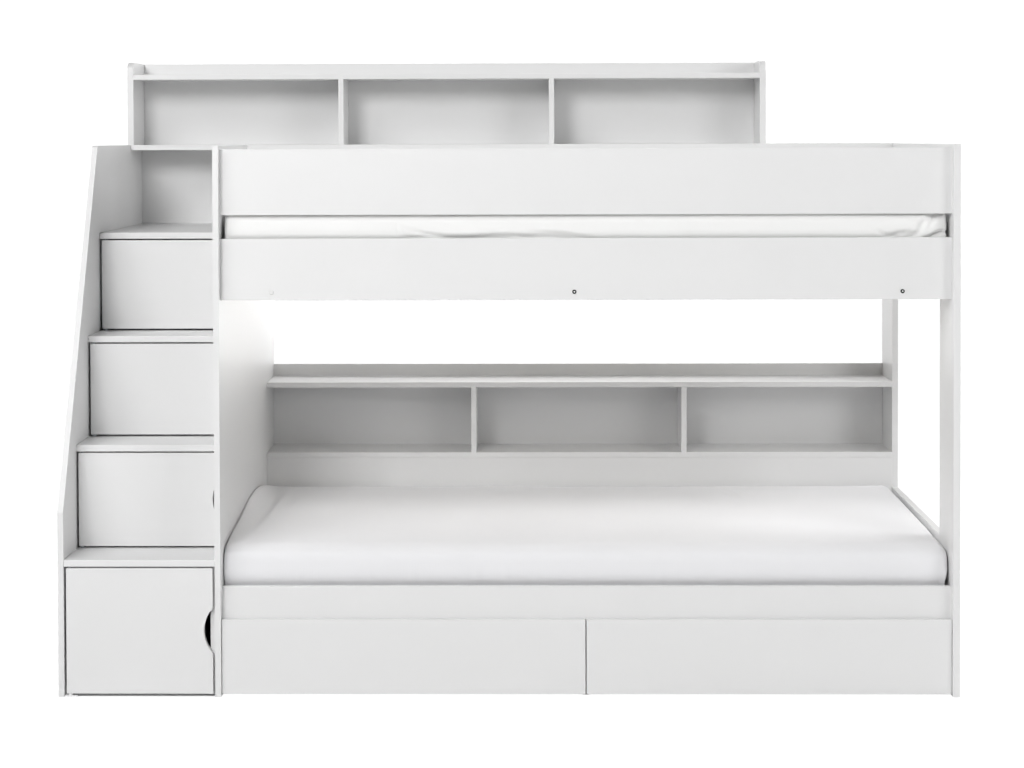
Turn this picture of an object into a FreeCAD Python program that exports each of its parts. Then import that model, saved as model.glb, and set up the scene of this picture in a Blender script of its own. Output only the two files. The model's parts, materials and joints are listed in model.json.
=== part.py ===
import FreeCAD, Part
import math
import os

# Bunk bed with a cupboard staircase. Lengths are in millimetres, +X along the bed to the right,
# +Y from the front to the wall side, +Z up. The origin is on the floor below the middle of the whole.
# Depths are measured back from the front edges of the end panels.

# Boards
panel_t = 18.0
side_t = 15.0
shelf_t = 16.0
back_t = 10.0

# Bed
bed_length = 1909.0
bunk_width = 899.0
post_height = 1441.0
front_post_width = 187.0
rail_inset = 26.0
guard_drop = 9.0
guard_height = 172.0
rail_gap = 62.0
side_rail_height = 161.0
lower_rail_top = 285.0
lower_rail_height = 94.0
end_panel_top = 392.0
entry_start = 553.0
entry_corner_r = 25.0
guard_corner_r = 6.0

# Slatted bases
slat_t = 18.0
slat_width = 70.0
slat_count = 14
slat_end_gap = 1.0
ledger_depth = 25.0
upper_ledger_height = 24.0
lower_ledger_height = 34.0
bearer_height = 42.0
bearer_width = 45.0
bearer_place_shares = (-0.4296, -0.0148, 0.4329)

# Bearer bolts and barrel nuts
bolt_r = 3.0
bolt_reach = 40.0
bolt_clearance = 0.3
bolt_head_r = 5.5
bolt_head_h = 2.4
bolt_head_round = 1.0
bolt_socket_r = 2.3
bolt_socket_depth = 1.6
nut_r = 5.0
nut_length = 20.0
nut_setback = 28.0

# Mattresses
mattress_left_gap = 2.5
mattress_right_gap = 11.5
mattress_side_gap = 4.0
mattress_t = 157.0
mattress_seat_gap = 0.3
mattress_edge_r = 42.0
mattress_base_r = 16.0
mattress_crown = 10.0
mattress_side_draw = 3.0
mattress_end_steps = 5

# Bookcases
bookcase_depth = 178.0
compartment_height = 199.0
compartment_count = 3
back_lip = 37.0
lower_bookcase_floor_top = 499.0
side_corner_r = 30.0
upper_bookcase_inset = 6.0

# Staircase
stair_width = 396.0
step_count = 4
step_going = 159.0
sill_drop = 3.0
nosing_setback = 1.5
nosing_r = 3.0
side_front_height = 485.0
side_top_setback = 463.0
side_bend_r = 12.0

# Staircase doors
lowest_door_height = 329.0
door_gap = 4.0
door_foot_gap = 5.5
door_side_gap = 6.0
door_swing_gap = 5.0
pivot_inset = 9.0
pivot_r = 4.0
pivot_clearance = 0.05
pivot_seat = 9.0
pivot_engage = 10.0
pivot_end_gap = 0.3
pivot_collar_r = 6.5
pivot_plate_t = 3.0
pivot_plate_lift = 0.5
pivot_plate_width = 34.0
pivot_plate_depth = 66.0
pivot_plate_setback = 1.5
notch_half_chord = 59.0
notch_depth = 23.5
notch_end_r = 12.0
catch_width = 42.0
catch_height = 13.0
catch_depth = 16.0
catch_edge_gap = 24.0
catch_door_gap = 0.3

# Drawers under the lower bunk
drawer_floor_gap = 5.5
drawer_overlap = 10.0
drawer_split_gap = 3.0
drawer_side_gap = 1.0
drawer_stop_gap = 0.5
box_board_t = 14.0
box_inset = 14.0
box_rear_gap = 139.0
box_top_gap = 11.5
box_bottom_t = 8.0

# Drawer castors
wheel_r = 21.5
wheel_width = 18.0
wheel_floor_gap = 0.5
wheel_edge_r = 2.5
wheel_hub_r = 8.0
wheel_rim_t = 5.0
wheel_recess = 3.0
axle_r = 3.0
axle_clearance = 0.05
fork_t = 3.0
fork_side_gap = 0.6
fork_headroom = 3.0
fork_cheek_r = 9.0
fork_plate_width = 52.0
fork_plate_depth = 46.0
castor_side_inset = 70.0
castor_end_inset = 80.0

# One overrun serves every through cut
overrun = 5.0

# Places worked out from the sizes above
width = 2 * side_t + panel_t + stair_width + bed_length
stair_x0 = side_t - width / 2
stair_x1 = stair_x0 + stair_width
bed_x0 = stair_x1 + side_t
bed_x1 = bed_x0 + bed_length
bed_mid = (bed_x0 + bed_x1) / 2
rail_back = rail_inset + panel_t
bunk_back = rail_back + bunk_width
compartment_back = bunk_back + bookcase_depth
depth = compartment_back + back_t
mattress_width = bunk_width - 2 * mattress_side_gap

guard_top = post_height - guard_drop
guard_bottom = guard_top - guard_height
side_rail_top = guard_bottom - rail_gap
side_rail_bottom = side_rail_top - side_rail_height
bearer_top = side_rail_bottom + bearer_height
upper_ledger_top = bearer_top + upper_ledger_height
upper_slat_top = upper_ledger_top + slat_t
lower_rail_bottom = lower_rail_top - lower_rail_height
lower_ledger_top = lower_rail_bottom + lower_ledger_height
lower_slat_top = lower_ledger_top + slat_t
base_board_bottom = post_height - shelf_t
lower_floor_bottom = lower_bookcase_floor_top - shelf_t
lowest_sill = pivot_plate_lift + pivot_plate_t
first_tread_top = lowest_sill + door_foot_gap + lowest_door_height + door_gap + panel_t
step_rise = (side_rail_top - sill_drop - first_tread_top) / (step_count - 1)

drawer_back_face = rail_inset - drawer_stop_gap
drawer_face = drawer_back_face - shelf_t
wheel_axis_z = wheel_floor_gap + wheel_r
fork_plate_bottom = wheel_axis_z + wheel_r + fork_headroom
box_base = fork_plate_bottom + fork_t
box_height = lower_rail_bottom - box_top_gap - box_base
box_depth = bunk_back - box_rear_gap - drawer_back_face


def point(x, d, z):
    """A point in the part's frame, from its depth behind the front plane."""
    return FreeCAD.Vector(x, d - depth / 2, z)


def board(x, d, z):
    """A square-edged board between three (low, high) pairs."""
    return Part.makeBox(x[1] - x[0], d[1] - d[0], z[1] - z[0], point(x[0], d[0], z[0]))


def rod(r, length, start, direction):
    """A round bar from a point along a direction."""
    return Part.makeCylinder(r, length, start, direction)


def upright_panel(outline, x0, x1):
    """A panel across the bed, from its outline of (depth, height) corners."""
    corners = [point(x0, d, z) for d, z in outline]
    face = Part.Face(Part.makePolygon(corners + corners[:1]))
    return face.extrude(FreeCAD.Vector(x1 - x0, 0, 0))


def round_corner(shape, d, z, r):
    """Round the edge along X that passes through a depth and a height."""
    target = point(0, d, z)
    for edge in shape.Edges:
        low, high = edge.BoundBox.XMin, edge.BoundBox.XMax
        middle = edge.CenterOfMass
        along_x = high - low > edge.Length - overrun
        if along_x and math.hypot(middle.y - target.y, middle.z - target.z) < overrun:
            return shape.makeFillet(r, [edge])
    raise ValueError("no edge to round at this corner")


def nosing_depth(step):
    """Depth of a tread's front edge, steps counted from 1."""
    return nosing_setback + (step - 1) * step_going


def tread_top(step):
    """Height of a tread's upper face; step 0 is the pivot plate below the lowest door."""
    return first_tread_top + (step - 1) * step_rise if step else lowest_sill


def bed_ends():
    """The full panel beside the stairs and the open frame at the far end."""
    outline = [(0, 0), (0, post_height), (entry_start, post_height), (entry_start, side_rail_top),
               (bunk_back, side_rail_top), (bunk_back, base_board_bottom),
               (depth, base_board_bottom), (depth, 0)]
    left = upright_panel(outline, stair_x1, bed_x0)
    left = round_corner(left, entry_start, post_height, guard_corner_r)
    left = round_corner(left, entry_start, side_rail_top, entry_corner_r)
    left = round_corner(left, bunk_back, side_rail_top, entry_corner_r)
    end_x = (bed_x1, bed_x1 + panel_t)
    between = (front_post_width, bunk_back)
    return {
        "left_end_panel": left,
        "right_front_post": board(end_x, (0, front_post_width), (0, post_height)),
        "right_rear_post": board(end_x, (bunk_back, depth), (0, post_height)),
        "right_lower_end_panel": board(end_x, between, (drawer_floor_gap, end_panel_top)),
        "right_upper_end_guard": board(end_x, between, (side_rail_bottom, post_height)),
    }


def bearer_middles():
    """X of the middle of each cross bearer under the upper bunk."""
    return [bed_mid + share * bed_length for share in bearer_place_shares]


def drill_for_bolts(shape, d0, d1):
    """Bolt holes through a board that spans two depths."""
    height = side_rail_bottom + bearer_height / 2
    for x in bearer_middles():
        start = point(x, d0 - overrun, height)
        length = d1 - d0 + 2 * overrun
        shape = shape.cut(rod(bolt_r + bolt_clearance, length, start, FreeCAD.Vector(0, 1, 0)))
    return shape


def upper_rails():
    """Front guard, front side rail and the tall board along the wall side."""
    span = (bed_x0, bed_x1)
    front = (rail_inset, rail_back)
    rear = (bunk_back, bunk_back + panel_t)
    side_rail = board(span, front, (side_rail_bottom, side_rail_top))
    rear_guard = board(span, rear, (side_rail_bottom, base_board_bottom))
    return {
        "upper_front_guard_rail": board(span, front, (guard_bottom, guard_top)),
        "upper_front_side_rail": drill_for_bolts(side_rail, *front),
        "upper_rear_guard": drill_for_bolts(rear_guard, *rear),
    }


def ledgers(z0, z1):
    """The battens along both sides that carry the slats."""
    span = (bed_x0, bed_x1)
    front = board(span, (rail_back, rail_back + ledger_depth), (z0, z1))
    rear = board(span, (bunk_back - ledger_depth, bunk_back), (z0, z1))
    return Part.makeCompound([front, rear])


def slats(z1):
    """A row of slats across the bunk, evenly spaced along the bed."""
    pitch = bed_length / slat_count
    reach = (rail_back + slat_end_gap, bunk_back - slat_end_gap)
    row = []
    for index in range(slat_count):
        middle = bed_x0 + (index + 0.5) * pitch
        row.append(board((middle - slat_width / 2, middle + slat_width / 2), reach, (z1 - slat_t, z1)))
    return Part.makeCompound(row)


def bearer_ends():
    """Each bolted end of the bearers: X, depth of the bearer's end face and the way into the wood."""
    ends = []
    for x in bearer_middles():
        ends.append((x, rail_back, 1))
        ends.append((x, bunk_back, -1))
    return ends


def bearers():
    """Cross bearers, drilled at both ends for a bolt and a barrel nut."""
    height = side_rail_bottom + bearer_height / 2
    pieces = []
    for x in bearer_middles():
        across = (x - bearer_width / 2, x + bearer_width / 2)
        pieces.append(board(across, (rail_back, bunk_back), (side_rail_bottom, bearer_top)))
    for x, face, way in bearer_ends():
        mouth = point(x, face - way * overrun, height)
        bore = rod(bolt_r + bolt_clearance, bolt_reach + 2 * overrun, mouth, FreeCAD.Vector(0, way, 0))
        foot = point(x, face + way * nut_setback, side_rail_bottom - overrun)
        pocket = rod(nut_r + bolt_clearance, bearer_height / 2 + nut_length / 2 + overrun, foot,
                     FreeCAD.Vector(0, 0, 1))
        index = bearer_middles().index(x)
        pieces[index] = pieces[index].cut(bore).cut(pocket)
    return Part.makeCompound(pieces)


def bearer_bolts():
    """Domed-head bolts with a hexagon socket, from outside through the board into each bearer."""
    height = side_rail_bottom + bearer_height / 2
    bolts = []
    for x, face, way in bearer_ends():
        into = FreeCAD.Vector(0, way, 0)
        under_head = point(x, face - way * panel_t, height)
        top = point(x, face - way * (panel_t + bolt_head_h), height)
        head = rod(bolt_head_r, bolt_head_h, top, into)
        rim = [e for e in head.Edges if e.BoundBox.YLength < bolt_head_round
               and abs(e.CenterOfMass.y - top.y) < bolt_head_h / 2]
        head = head.makeFillet(bolt_head_round, rim)
        hexagon = [FreeCAD.Vector(x + bolt_socket_r * math.cos(math.radians(a)), top.y,
                                  height + bolt_socket_r * math.sin(math.radians(a)))
                   for a in range(0, 420, 60)]
        socket = Part.Face(Part.makePolygon(hexagon)).extrude(into * bolt_socket_depth)
        shank = rod(bolt_r, panel_t + bolt_reach, under_head, into)
        bolts.append(head.cut(socket).fuse(shank))
    return Part.makeCompound(bolts)


def barrel_nuts():
    """Cross nuts that the bearer bolts screw into."""
    middle_z = side_rail_bottom + bearer_height / 2
    nuts = []
    for x, face, way in bearer_ends():
        foot = point(x, face + way * nut_setback, middle_z - nut_length / 2)
        nut = rod(nut_r, nut_length, foot, FreeCAD.Vector(0, 0, 1))
        mouth = point(x, face, middle_z)
        bore = rod(bolt_r + pivot_clearance, bolt_reach + overrun, mouth, FreeCAD.Vector(0, way, 0))
        nuts.append(nut.cut(bore))
    return Part.makeCompound(nuts)


def mattress_section(x, inset, z0):
    """Cross-section of a mattress: flat base, drawn-in sides, soft upper edges and a crowned top."""
    half = mattress_width / 2 - inset
    middle = rail_back + bunk_width / 2
    low = z0 + inset
    shoulder = z0 + mattress_t - mattress_crown - inset
    crown = z0 + mattress_t - inset
    base_r = mattress_base_r
    edge_r = mattress_edge_r
    slant = math.sqrt(0.5)

    def at(side, d, z):
        return point(x, middle + side * d, z)

    def half_profile(side):
        waist = half - mattress_side_draw
        side_low = low + base_r
        side_high = shoulder - edge_r
        base_bend = at(side, half - base_r + base_r * slant, low + base_r - base_r * slant)
        edge_bend = at(side, half - edge_r + edge_r * slant, shoulder - edge_r + edge_r * slant)
        return [
            Part.Arc(at(side, half - base_r, low), base_bend, at(side, half, side_low)).toShape(),
            Part.Arc(at(side, half, side_low), at(side, waist, (side_low + side_high) / 2),
                     at(side, half, side_high)).toShape(),
            Part.Arc(at(side, half, side_high), edge_bend, at(side, half - edge_r, shoulder)).toShape(),
        ]

    base = Part.LineSegment(at(-1, half - base_r, low), at(1, half - base_r, low)).toShape()
    top = Part.Arc(at(-1, half - edge_r, shoulder), at(0, 0, crown),
                   at(1, half - edge_r, shoulder)).toShape()
    return Part.Wire(Part.__sortEdges__([base] + half_profile(1) + [top] + half_profile(-1)))


def mattress(slat_top):
    """A foam mattress in a fitted sheet, lofted along the bed with rounded ends."""
    z0 = slat_top + mattress_seat_gap
    x0 = bed_x0 + mattress_left_gap
    x1 = bed_x1 - mattress_right_gap
    stations = []
    for step in range(mattress_end_steps + 1):
        turn = math.radians(90.0 * step / mattress_end_steps)
        reach = mattress_base_r * (1 - math.cos(turn))
        inset = mattress_base_r * (1 - math.sin(turn))
        stations.append((reach, inset))
    sections = [mattress_section(x0 + reach, inset, z0) for reach, inset in stations]
    sections += [mattress_section(x1 - reach, inset, z0) for reach, inset in reversed(stations)]
    return Part.makeLoft(sections, True, True)


def upper_bunk():
    """Slatted base of the upper bunk with its bearers, fixings and mattress."""
    return {
        "upper_ledgers": ledgers(bearer_top, upper_ledger_top),
        "upper_bearers": bearers(),
        "bearer_bolts": bearer_bolts(),
        "bearer_barrel_nuts": barrel_nuts(),
        "upper_slats": slats(upper_slat_top),
        "upper_mattress": mattress(upper_slat_top),
    }


def lower_bunk():
    """Front rail, wall-side board, slatted base and mattress of the lower bunk."""
    span = (bed_x0, bed_x1)
    centre = (bed_mid - panel_t / 2, bed_mid + panel_t / 2)
    return {
        "lower_front_rail": board(span, (rail_inset, rail_back), (lower_rail_bottom, lower_rail_top)),
        "lower_rear_panel": board(span, (bunk_back, bunk_back + shelf_t), (0, lower_floor_bottom)),
        "lower_ledgers": ledgers(lower_rail_bottom, lower_ledger_top),
        "lower_slats": slats(lower_slat_top),
        "lower_mattress": mattress(lower_slat_top),
        "drawer_centre_panel": board(centre, (rail_inset, bunk_back), (0, lower_rail_bottom)),
    }


def bookcase_dividers(x0, z0):
    """Dividers that split a bookcase of the bed's length into equal compartments."""
    clear = (bed_length - (compartment_count - 1) * shelf_t) / compartment_count
    pieces = []
    for index in range(1, compartment_count):
        left = x0 + index * clear + (index - 1) * shelf_t
        pieces.append(board((left, left + shelf_t), (bunk_back, compartment_back),
                            (z0, z0 + compartment_height)))
    return pieces


def lower_bookcase():
    """Bookcase behind the lower mattress, between the two bed ends."""
    span = (bed_x0, bed_x1)
    shelf = (bunk_back, compartment_back)
    top0 = lower_bookcase_floor_top + compartment_height
    nodes = {
        "lower_bookcase_floor": board(span, shelf, (lower_floor_bottom, lower_bookcase_floor_top)),
        "lower_bookcase_top": board(span, shelf, (top0, top0 + shelf_t)),
        "lower_bookcase_back": board(span, (compartment_back, depth),
                                     (lower_floor_bottom, top0 + shelf_t + back_lip)),
    }
    for index, piece in enumerate(bookcase_dividers(bed_x0, lower_bookcase_floor_top), 1):
        nodes["lower_bookcase_divider_%d" % index] = piece
    return nodes


def bookcase_side(x0):
    """An end board of the upper bookcase with its rounded front corner."""
    top = post_height + compartment_height + shelf_t + back_lip
    side = board((x0, x0 + panel_t), (bunk_back, depth), (post_height, top))
    return round_corner(side, bunk_back, top, side_corner_r)


def upper_bookcase():
    """Bookcase above the wall side of the upper bunk, shifted over the staircase."""
    x0 = stair_x0 - side_t + upper_bookcase_inset + panel_t
    x1 = x0 + bed_length
    shelf = (bunk_back, compartment_back)
    top0 = post_height + compartment_height
    nodes = {
        "upper_bookcase_base": board((stair_x0, bed_x1), (bunk_back, depth),
                                     (base_board_bottom, post_height)),
        "upper_bookcase_left_side": bookcase_side(x0 - panel_t),
        "upper_bookcase_right_side": bookcase_side(x1),
        "upper_bookcase_top": board((x0, x1), shelf, (top0, top0 + shelf_t)),
        "upper_bookcase_back": board((x0, x1), (compartment_back, depth),
                                     (post_height, top0 + shelf_t + back_lip)),
    }
    for index, piece in enumerate(bookcase_dividers(x0, post_height), 1):
        nodes["upper_bookcase_divider_%d" % index] = piece
    return nodes


def pivot_axis(step):
    """X and depth of a door's pivot axis."""
    return stair_x0 + door_side_gap + pivot_inset, nosing_depth(step) + shelf_t / 2


def pivot_hole(step, z, way, reach):
    """Bore on a door's pivot axis from a face, up or down."""
    x, d = pivot_axis(step)
    return rod(pivot_r + pivot_clearance, reach, point(x, d, z), FreeCAD.Vector(0, 0, way))


def staircase():
    """Carcass of the staircase: sloping side, floor panel, treads and back."""
    outline = [(0, 0), (0, side_front_height), (side_top_setback, post_height),
               (depth, post_height), (depth, 0)]
    side = upright_panel(outline, stair_x0 - side_t, stair_x0)
    side = round_corner(side, 0, side_front_height, side_bend_r)
    side = round_corner(side, side_top_setback, post_height, side_bend_r)
    span = (stair_x0, stair_x1)
    floor_front = nosing_depth(1) + shelf_t + door_swing_gap
    bottom = board(span, (floor_front, compartment_back), (0, panel_t))
    plate_back = nosing_depth(1) + pivot_plate_setback + pivot_plate_depth
    plate_pocket = board((stair_x0, stair_x0 + pivot_plate_width + pivot_end_gap),
                         (floor_front - overrun, plate_back + pivot_end_gap), (-overrun, lowest_sill))
    nodes = {
        "stair_left_side": side,
        "stair_bottom_panel": bottom.cut(plate_pocket),
        "stair_back_panel": board(span, (compartment_back, depth), (0, base_board_bottom)),
    }
    for step in range(1, step_count + 1):
        top = tread_top(step)
        tread = board(span, (nosing_depth(step), compartment_back), (top - panel_t, top))
        tread = round_corner(tread, nosing_depth(step), top, nosing_r)
        tread = tread.cut(pivot_hole(step, top - panel_t, 1, pivot_seat))
        if step < step_count:
            tread = tread.cut(pivot_hole(step + 1, top, -1, pivot_seat))
        nodes["stair_tread_%d" % step] = tread
    return nodes


def stair_door(step):
    """A flush door hung on pivots at its left edge, with a finger cut-out at its right edge."""
    left = stair_x0 + door_side_gap
    right = stair_x1 - door_side_gap
    low = tread_top(step - 1) + door_foot_gap
    high = tread_top(step) - panel_t - door_gap
    face = nosing_depth(step)
    door = board((left, right), (face, face + shelf_t), (low, high))
    middle = (low + high) / 2
    notch_r = (notch_half_chord ** 2 + notch_depth ** 2) / (2 * notch_depth)
    centre = point(right + notch_r - notch_depth, face - overrun, middle)
    door = door.cut(rod(notch_r, shelf_t + 2 * overrun, centre, FreeCAD.Vector(0, 1, 0)))
    lips = [e for e in door.Edges if abs(e.CenterOfMass.x - right) < pivot_clearance
            and abs(abs(e.CenterOfMass.z - middle) - notch_half_chord) < overrun]
    door = door.makeFillet(notch_end_r, lips)
    reach = pivot_engage + pivot_end_gap
    return door.cut(pivot_hole(step, low, 1, reach)).cut(pivot_hole(step, high, -1, reach))


def upper_pin(step):
    """The pivot above a door, seated in the tread over it."""
    x, d = pivot_axis(step)
    foot = tread_top(step) - panel_t - door_gap - pivot_engage
    return rod(pivot_r, pivot_seat + door_gap + pivot_engage, point(x, d, foot), FreeCAD.Vector(0, 0, 1))


def lower_pin(step, seat):
    """The pivot below a door, with the collar that carries the door's weight."""
    x, d = pivot_axis(step)
    up = FreeCAD.Vector(0, 0, 1)
    sill = tread_top(step - 1)
    pin = rod(pivot_r, seat + door_foot_gap + pivot_engage, point(x, d, sill - seat), up)
    return pin.fuse(rod(pivot_collar_r, door_foot_gap - pivot_end_gap, point(x, d, sill), up))


def door_pivots():
    """Pins in the treads, and the floor plate that carries the lowest door."""
    pins = []
    for step in range(1, step_count + 1):
        pins.append(upper_pin(step))
        if step > 1:
            pins.append(lower_pin(step, pivot_seat))
    plate_front = nosing_depth(1) + pivot_plate_setback
    plate = board((stair_x0, stair_x0 + pivot_plate_width), (plate_front, plate_front + pivot_plate_depth),
                  (pivot_plate_lift, lowest_sill))
    plate = plate.fuse(lower_pin(1, pivot_plate_t))
    return {"door_pivot_pins": Part.makeCompound(pins), "lower_pivot_plate": plate}


def magnet_catches():
    """A catch under each tread, just behind the free edge of the door."""
    right = stair_x1 - door_side_gap - catch_edge_gap
    pieces = []
    for step in range(1, step_count + 1):
        under = tread_top(step) - panel_t
        front = nosing_depth(step) + shelf_t + catch_door_gap
        pieces.append(board((right - catch_width, right), (front, front + catch_depth),
                            (under - catch_height, under)))
    return Part.makeCompound(pieces)


def castor_places(x0, x1):
    """Middles of a drawer's castors: a front pair, then a rear pair."""
    across = (x0 + castor_side_inset, x1 - castor_side_inset)
    front = drawer_back_face + castor_end_inset
    rear = drawer_back_face + box_depth - castor_end_inset
    return [(x, front) for x in across], [(x, rear) for x in across]


def castor_fork(x, d):
    """A pressed plate with two rounded cheeks and a riveted axle."""
    gap = wheel_width / 2 + fork_side_gap
    plate = board((x - fork_plate_width / 2, x + fork_plate_width / 2),
                  (d - fork_plate_depth / 2, d + fork_plate_depth / 2), (fork_plate_bottom, box_base))
    fork = plate
    for side in (-1, 1):
        low = x + side * gap if side > 0 else x - gap - fork_t
        tab = board((low, low + fork_t), (d - fork_cheek_r, d + fork_cheek_r),
                    (wheel_axis_z, fork_plate_bottom))
        lobe = rod(fork_cheek_r, fork_t, point(low, d, wheel_axis_z), FreeCAD.Vector(1, 0, 0))
        fork = fork.fuse(tab).fuse(lobe)
    axle = rod(axle_r, 2 * (gap + fork_t), point(x - gap - fork_t, d, wheel_axis_z),
               FreeCAD.Vector(1, 0, 0))
    return fork.fuse(axle).removeSplitter()


def castor_wheel(x, d):
    """A moulded wheel with a rounded tread, recessed faces and a plain bore."""
    half = wheel_width / 2
    web = half - wheel_recess
    rim = wheel_r - wheel_rim_t
    bore = axle_r + axle_clearance
    outline = [(-half, bore), (-half, wheel_hub_r), (-web, wheel_hub_r), (-web, rim), (-half, rim),
               (-half, wheel_r), (half, wheel_r), (half, rim), (web, rim), (web, wheel_hub_r),
               (half, wheel_hub_r), (half, bore)]
    corners = [point(x + across, d, wheel_axis_z + r) for across, r in outline]
    face = Part.Face(Part.makePolygon(corners + corners[:1]))
    wheel = face.revolve(point(x, d, wheel_axis_z), FreeCAD.Vector(1, 0, 0), 360)
    shoulders = [e for e in wheel.Edges if hasattr(e.Curve, "Radius") and e.Curve.Radius > rim + axle_r / 2]
    return wheel.makeFillet(wheel_edge_r, shoulders)


def drawer(name, x0, x1):
    """A drawer on castors: front, two sides, back, bottom, forks and wheels."""
    left = x0 + box_inset
    right = x1 - box_inset
    run = (drawer_back_face, drawer_back_face + box_depth)
    rise = (box_base, box_base + box_height)
    inner = (left + box_board_t, right - box_board_t)
    sides = [board((left, left + box_board_t), run, rise), board((right - box_board_t, right), run, rise)]
    back = board(inner, (run[1] - box_board_t, run[1]), rise)
    bottom = board(inner, (run[0], run[1] - box_board_t), (box_base, box_base + box_bottom_t))
    front = board((x0, x1), (drawer_face, drawer_back_face),
                  (drawer_floor_gap, lower_rail_bottom + drawer_overlap))
    front_pair, rear_pair = castor_places(left, right)
    return {
        name + "_front": front,
        name + "_sides": Part.makeCompound(sides),
        name + "_back": back,
        name + "_bottom": bottom,
        name + "_castor_forks": Part.makeCompound([castor_fork(x, d) for x, d in front_pair + rear_pair]),
        name + "_front_wheels": Part.makeCompound([castor_wheel(x, d) for x, d in front_pair]),
        name + "_rear_wheels": Part.makeCompound([castor_wheel(x, d) for x, d in rear_pair]),
    }


def build():
    """Every node of the bed by name."""
    nodes = {}
    nodes.update(bed_ends())
    nodes.update(upper_rails())
    nodes.update(upper_bunk())
    nodes.update(lower_bunk())
    nodes.update(lower_bookcase())
    nodes.update(upper_bookcase())
    nodes.update(staircase())
    for step in range(1, step_count + 1):
        nodes["stair_door_%d" % step] = stair_door(step)
    nodes.update(door_pivots())
    nodes["door_magnet_catches"] = magnet_catches()
    half_split = drawer_split_gap / 2
    nodes.update(drawer("left_drawer", bed_x0 + drawer_side_gap, bed_mid - half_split))
    nodes.update(drawer("right_drawer", bed_mid + half_split, bed_x1 - drawer_side_gap))
    return nodes


def main():
    os.makedirs("parts", exist_ok=True)
    for name, shape in build().items():
        shape.exportStep("parts/%s.step" % name)


main()
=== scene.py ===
"""Looks of a white bunk bed with a cupboard staircase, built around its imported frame."""

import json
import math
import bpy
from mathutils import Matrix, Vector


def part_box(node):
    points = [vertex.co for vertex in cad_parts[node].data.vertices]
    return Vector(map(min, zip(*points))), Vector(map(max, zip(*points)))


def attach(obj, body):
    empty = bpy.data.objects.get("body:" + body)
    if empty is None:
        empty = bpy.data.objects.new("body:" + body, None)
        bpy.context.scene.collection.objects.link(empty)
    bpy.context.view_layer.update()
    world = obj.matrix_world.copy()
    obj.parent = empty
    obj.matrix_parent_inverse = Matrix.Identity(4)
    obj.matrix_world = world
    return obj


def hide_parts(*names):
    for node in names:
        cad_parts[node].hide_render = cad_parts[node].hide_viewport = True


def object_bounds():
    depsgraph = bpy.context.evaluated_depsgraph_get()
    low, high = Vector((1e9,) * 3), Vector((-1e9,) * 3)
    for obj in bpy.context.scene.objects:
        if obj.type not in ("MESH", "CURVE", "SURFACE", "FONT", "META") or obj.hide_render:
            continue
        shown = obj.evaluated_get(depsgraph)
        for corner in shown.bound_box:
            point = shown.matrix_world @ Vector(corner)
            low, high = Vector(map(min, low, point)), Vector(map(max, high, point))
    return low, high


bl_info = {
    "name": "Bunk Bed With Stairs",
    "version": (1, 0, 0),
    "blender": (4, 5, 0),
    "location": "View3D > Sidebar > Bunk Bed",
    "description": "Board finishes, mattresses in fitted sheets, fixings and a studio for a bunk bed",
    "category": "Object",
}

import bmesh
import bpy
import numpy
from bpy.props import FloatProperty, FloatVectorProperty, IntProperty, PointerProperty
from mathutils import Matrix, Vector

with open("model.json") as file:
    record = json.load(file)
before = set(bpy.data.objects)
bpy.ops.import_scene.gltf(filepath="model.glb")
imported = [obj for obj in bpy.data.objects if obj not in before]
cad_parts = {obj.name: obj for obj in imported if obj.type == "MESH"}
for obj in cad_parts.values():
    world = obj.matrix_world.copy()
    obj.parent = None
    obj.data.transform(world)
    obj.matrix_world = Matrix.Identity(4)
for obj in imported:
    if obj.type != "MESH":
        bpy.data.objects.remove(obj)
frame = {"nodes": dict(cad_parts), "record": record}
CAD_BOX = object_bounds()
MM = 0.001

# The slots of the record tell which finish each CAD node takes
NODE_SLOTS = {part["node"]: part["material_slot"] for part in frame["record"]["subparts"]}

# Length in metres of a wave texture's bands at scale 1
WAVE_LENGTH = math.tau / 20

# Width of the photograph in pixels
PHOTO_WIDTH = 1024

# Boards whose bolt and pivot holes are covered by their fixings
DRILLED_BOARDS = ("upper_front_side_rail", "upper_rear_guard", "stair_tread_1", "stair_tread_2",
                  "stair_tread_3", "stair_tread_4")

# Edges sharper than this are rounded, after a CAD node's corners this near each other are welded
SHARP_EDGE = math.radians(40)
WELD_REACH = 0.01 * MM

# Shape of the fixings' round heads: their top's share of their radius, and their sides
HEAD_CROWN = 0.8
HEAD_SIDES = 20

# Points this near the frontmost one lie on the bolts' faces
FACE_DEPTH = 0.1 * MM

# Depth of the bolts' sockets, depth that takes in a castor plate, and gaps that part bolts and plates
SOCKET_DEPTH = 1.6 * MM
PLATE_DEPTH = 4 * MM
BOLT_GAP = 40 * MM
PLATE_GAP = 60 * MM

# Room between a closed door and its stop
STOP_ROOM = 0.5 * MM

# Rounding of each mattress at its left and right ends and its front and rear sides, at the top and the base
TOP_ROUNDING = {
    "lower": ((8 * MM, 26 * MM), (48 * MM, 25 * MM)),
    "upper": ((24 * MM, 16 * MM), (20 * MM, 25 * MM)),
}
BASE_ROUNDING = ((6 * MM, 8 * MM), (20 * MM, 14 * MM))

# Grid lines across each rounded edge of a sheet
EDGE_STEPS = 6

# Foot of a mattress that the simulation holds still, its quality, and the swelling left at front and rear
SEAT_HEIGHT = 4 * MM
CLOTH_QUALITY = 4
SIDE_ROOM = 1.5 * MM

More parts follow.
